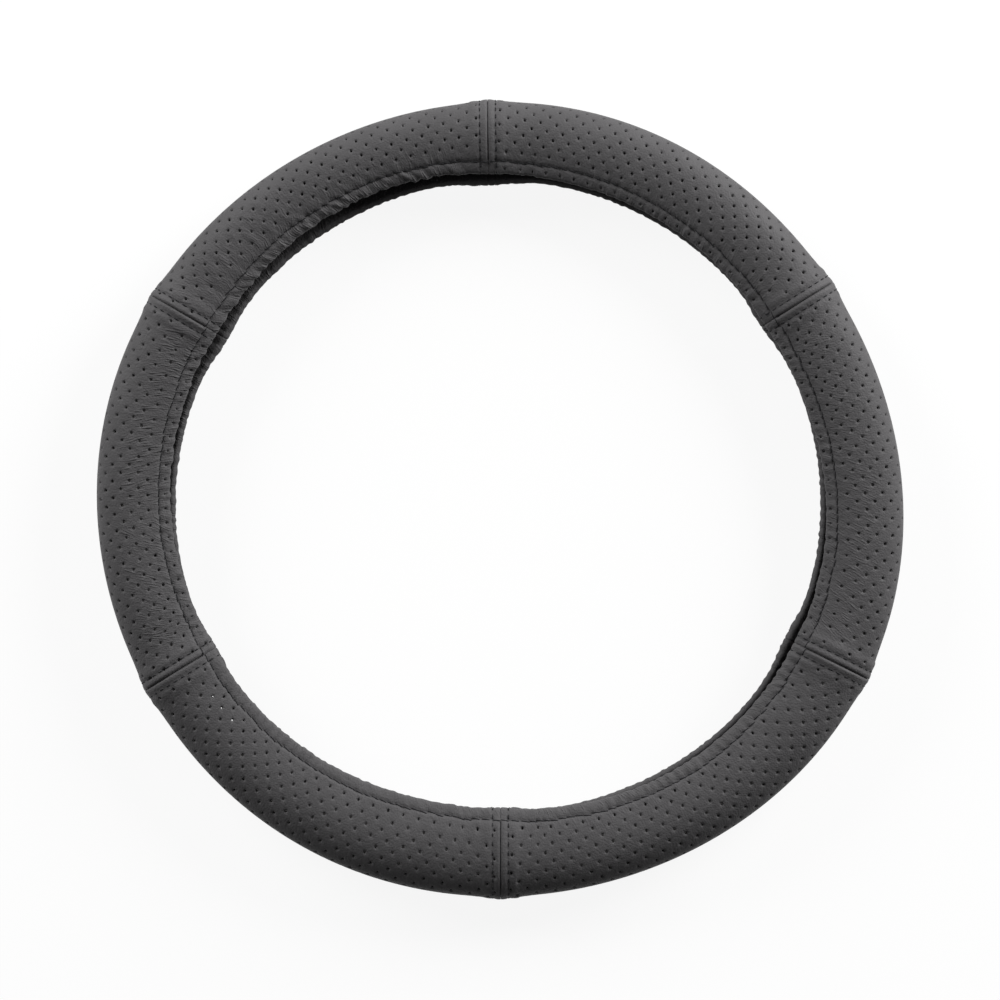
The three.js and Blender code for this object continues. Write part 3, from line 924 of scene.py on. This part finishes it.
# %% Grain leather
def grain_leather():
    """Corrected cow leather, embossed with a fine pebble grain and finished satin. The eye
    sees a soft grey with a dull sheen, broken by pores, and hair-fine wrinkles where it bends.
    The real pebbles are about 0.5 mm wide, which is one pixel of the picture, so they are
    drawn 0.9 mm wide."""
    material, tree, shader = new_material("satin_grain_leather", roughness=0.55, specular=0.08)
    cut = add_node(tree, "ShaderNodeUVMap", uv_map="flat_cut")
    place = cut.outputs["UV"]
    pebbles = add_node(tree, "ShaderNodeTexVoronoi", {"Vector": place}, Scale=1100)
    fine = add_node(tree, "ShaderNodeTexNoise", {"Vector": place}, Scale=900, Detail=3.0)
    clouds = add_node(tree, "ShaderNodeTexNoise", {"Vector": place}, Scale=45, Detail=3.0)
    apart = add_node(tree, "ShaderNodeSeparateXYZ", {"Vector": place})
    lean = add_node(tree, "ShaderNodeAttribute", attribute_name="lean")
    links = {0: apart.outputs["Y"], 1: lean.outputs["Fac"], 2: apart.outputs["X"]}
    shear = add_node(tree, "ShaderNodeMath", links, operation="MULTIPLY_ADD")
    links = {"X": shear.outputs[0], "Y": apart.outputs["Y"]}
    sheared = add_node(tree, "ShaderNodeCombineXYZ", links)
    links = {"Vector": sheared.outputs[0]}
    stretched = add_node(tree, "ShaderNodeMapping", links, Scale=(740, 165, 1))
    wrinkles = add_node(
        tree,
        "ShaderNodeTexNoise",
        {"Vector": stretched.outputs[0]},
        noise_type="RIDGED_MULTIFRACTAL",
        Scale=1,
        Detail=3.0,
        Roughness=0.6,
    )
    creased = add_node(tree, "ShaderNodeAttribute", attribute_name="creased")
    links = {0: wrinkles.outputs["Fac"], 1: creased.outputs["Fac"]}
    wrinkle_height = add_node(tree, "ShaderNodeMath", links, operation="MULTIPLY")
    colour_between(tree, shader, clouds.outputs["Fac"], *LEATHER_GREYS)
    links = {"Height": pebbles.outputs["Distance"]}
    grain = add_node(tree, "ShaderNodeBump", links, Strength=0.5, Distance=0.0003)
    links = {"Height": fine.outputs["Fac"], "Normal": grain.outputs["Normal"]}
    pores = add_node(tree, "ShaderNodeBump", links, Strength=0.3, Distance=0.0002)
    links = {"Height": wrinkle_height.outputs[0], "Normal": pores.outputs["Normal"]}
    folds = add_node(tree, "ShaderNodeBump", links, invert=True, Strength=0.9, Distance=0.00085)
    tree.links.new(folds.outputs["Normal"], shader.inputs["Normal"])
    return material


print("made", grain_leather.__name__)


# %% Flesh side and cut edge
def flesh_side():
    """The inside of the leather: split suede, dyed through, with a short nap. It looks dull,
    and a little darker and browner than the finished face."""
    material, tree, shader = new_material("suede_flesh_side", roughness=0.95, specular=0.15)
    cut = add_node(tree, "ShaderNodeUVMap", uv_map="flat_cut")
    links = {"Vector": cut.outputs["UV"]}
    nap = add_node(tree, "ShaderNodeTexNoise", links, Scale=700, Detail=5.0)
    colour_between(tree, shader, nap.outputs["Fac"], "#2E2D2D", "#4A4847")
    height = {"Height": nap.outputs["Fac"]}
    bump = add_node(tree, "ShaderNodeBump", height, Strength=0.6, Distance=0.0004)
    tree.links.new(bump.outputs["Normal"], shader.inputs["Normal"])
    return material


def cut_edge():
    """The punched and cut edges: raw dyed fibre, darker than the face because light sinks
    into it. It is what the eye reads as the dark core of each hole."""
    material, tree, shader = new_material("raw_cut_edge", roughness=0.9, specular=0.1)
    place = add_node(tree, "ShaderNodeTexCoord")
    fibre = add_node(tree, "ShaderNodeTexNoise", {"Vector": place.outputs["Object"]}, Scale=1500)
    colour_between(tree, shader, fibre.outputs["Fac"], "#1B1B1C", "#2C2C2D")
    return material


leather_finishes = [grain_leather(), flesh_side(), cut_edge()]
for piece in leather_pieces:
    for finish in leather_finishes:
        piece.data.materials.append(finish)
print("leather finishes:", [finish.name for finish in leather_finishes])


# %% Thread and elastic
def polyester_thread():
    """Bonded polyester sewing thread, twisted from three plies and dyed near black. It shows
    as small dark dashes with a faint sheen. Its turns are drawn about 0.8 mm apart."""
    material, tree, shader = new_material("bonded_polyester_thread", roughness=0.6, specular=0.08)
    place = {"Vector": add_node(tree, "ShaderNodeTexCoord").outputs["Object"]}
    twist = add_node(tree, "ShaderNodeTexWave", place, Scale=400, Distortion=2.0)
    colour_between(tree, shader, twist.outputs["Fac"], "#161617", "#262628")
    return material


def braided_elastic():
    """Flat braided elastic: polyester yarn round rubber cords, dyed black. The braid gives
    fine uneven ribs about 2 mm apart."""
    material, tree, shader = new_material("braided_elastic_band", roughness=0.85, specular=0.1)
    place = {"Vector": add_node(tree, "ShaderNodeTexCoord").outputs["Object"]}
    ribs = add_node(tree, "ShaderNodeTexWave", place, Scale=160, Distortion=1.5)
    colour_between(tree, shader, ribs.outputs["Fac"], "#141415", "#2A2A2B")
    height = {"Height": ribs.outputs["Fac"]}
    bump = add_node(tree, "ShaderNodeBump", height, Strength=0.5, Distance=0.0003)
    tree.links.new(bump.outputs["Normal"], shader.inputs["Normal"])
    return material


thread = polyester_thread()
for piece in [seam_thread, *hem_threads]:
    piece.data.materials.append(thread)
elastic = braided_elastic()
for node in ("front_elastic", "rear_elastic"):
    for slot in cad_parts[node].material_slots:
        slot.material = elastic
print("finished threads and elastics")

# %% [markdown]
# ## Table, backdrop and lamps
#
# The picture is a cut-out on white, lit by two wide soft lamps low on either side of the top,
# which leave the lower outside of the ring in shade. The table is pale and plain. What the
# camera sees of it is whitened with Is Camera Ray and not by more light, and it keeps the
# ring's soft shadow.

# %% Pale floor
FLOOR_REACH = 3  # metres from its middle to each edge
FLOOR_GREY = "#9C9C9C"
FLOOR_WHITENING = 0.9  # the share of white that the camera sees whatever the shade


def seen_rays(tree):
    """1 for the rays that show a thing in the picture, straight or in a reflection, else 0."""
    rays = add_node(tree, "ShaderNodeLightPath")
    seen = rays.outputs["Is Camera Ray"]
    for kind in ("Is Glossy Ray", "Is Transmission Ray"):
        links = {0: seen, 1: rays.outputs[kind]}
        seen = add_node(tree, "ShaderNodeMath", links, operation="MAXIMUM").outputs[0]
    return seen


def pale_floor():
    """A matt table top. Light bounces off its plain grey. The camera sees it nine tenths pure
    white, and the last tenth is white paper, which keeps the ring's soft shadow."""
    material, tree, shader = new_material("pale_floor", roughness=0.9, specular=0)
    shader.inputs["Base Color"].default_value = linear(FLOOR_GREY)
    paper = add_node(tree, "ShaderNodeBsdfDiffuse", Color=(1, 1, 1, 1))
    white = add_node(tree, "ShaderNodeEmission", Strength=1.0)
    links = {1: paper.outputs["BSDF"], 2: white.outputs["Emission"]}
    shown = add_node(tree, "ShaderNodeMixShader", links)
    shown.inputs[0].default_value = FLOOR_WHITENING
    links = {0: seen_rays(tree), 1: shader.outputs["BSDF"], 2: shown.outputs[0]}
    mixed = add_node(tree, "ShaderNodeMixShader", links)
    output = next(node for node in tree.nodes if node.type == "OUTPUT_MATERIAL")
    tree.links.new(mixed.outputs[0], output.inputs["Surface"])
    return material


floor_mesh = bpy.data.meshes.new("floor")
floor_bm = bmesh.new()
bmesh.ops.create_grid(floor_bm, x_segments=1, y_segments=1, size=FLOOR_REACH)
floor_bm.to_mesh(floor_mesh)
floor_bm.free()
floor = bpy.data.objects.new("floor", floor_mesh)
scene.collection.objects.link(floor)
floor_mesh.materials.append(pale_floor())
print("floor whitened by", FLOOR_WHITENING)

# %% White surroundings with a faint light of their own
AMBIENT = 0.09
world = bpy.data.worlds.new("studio")
scene.world = world
world.use_nodes = True
tree = world.node_tree
tree.nodes.clear()
links = {"Value": seen_rays(tree)}
strength = add_node(tree, "ShaderNodeMapRange", links, To_Min=AMBIENT, To_Max=1.0)
background = add_node(tree, "ShaderNodeBackground", {"Strength": strength.outputs["Result"]})
background.inputs["Color"].default_value = (1, 1, 1, 1)
add_node(tree, "ShaderNodeOutputWorld", {"Surface": background.outputs[0]})
print("ambient", AMBIENT)

# %% Two low soft lamps
LAMPS = {  # azimuth and elevation in degrees, counted as the ring's angles are, and watts
    "key_upper_right": (38, 18, 77),
    "key_upper_left": (142, 20, 48),
}
LAMP_WIDTH = 1.2
LAMP_DISTANCE = 2.0


def soft_lamp(name, azimuth, elevation, power):
    data = bpy.data.lights.new(name, "AREA")
    data.shape = "DISK"
    data.size = LAMP_WIDTH
    data.energy = power
    lamp = bpy.data.objects.new(name, data)
    turn, rise = math.radians(azimuth), math.radians(elevation)
    flat = math.cos(rise)
    towards = Vector((flat * math.cos(turn), flat * math.sin(turn), math.sin(rise)))
    lamp.location = LAMP_DISTANCE * towards
    lamp.rotation_euler = towards.to_track_quat("Z", "Y").to_euler()
    scene.collection.objects.link(lamp)


for name, settings in LAMPS.items():
    soft_lamp(name, *settings)
scene.view_settings.view_transform = "Standard"
print("lamps:", list(LAMPS))
